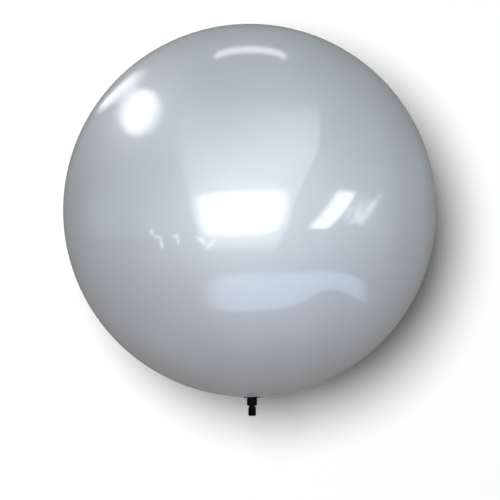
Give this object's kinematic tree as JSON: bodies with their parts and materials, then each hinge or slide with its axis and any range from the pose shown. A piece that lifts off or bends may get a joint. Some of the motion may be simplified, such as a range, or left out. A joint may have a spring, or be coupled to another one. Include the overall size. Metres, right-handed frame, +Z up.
{
  "type": "pvc advertising balloon",
  "caption": "Inflated seamless silver PVC sphere with a black neck welded to its foot and a rubber stopper that pulls straight down out of the neck.",
  "frame": {"origin": "centre of the sphere, where the lift of the gas acts", "axes": "+Z up along the balloon's axis, away from the neck; X and Y are level and alike, because the balloon is turned about Z"},
  "size_m": [2, 2, 2.1018],
  "materials": {
    "silver_film": "high gloss pearl silver film",
    "black_sheet": "gloss black PVC sheet",
    "black_moulding": "satin black moulded PVC",
    "black_rubber": "matt black rubber"
  },
  "bodies": {
    "balloon": {"envelope": "silver_film", "neck_flange": "black_sheet", "neck_collar": "black_moulding"},
    "bung": {"stopper": "black_rubber"}
  },
  "joints": [
    {"name": "stopper_pull", "type": "slide", "parent": "balloon", "child": "bung", "axis": [0, 0, -1], "range_m": [0, 0.06]}
  ]
}
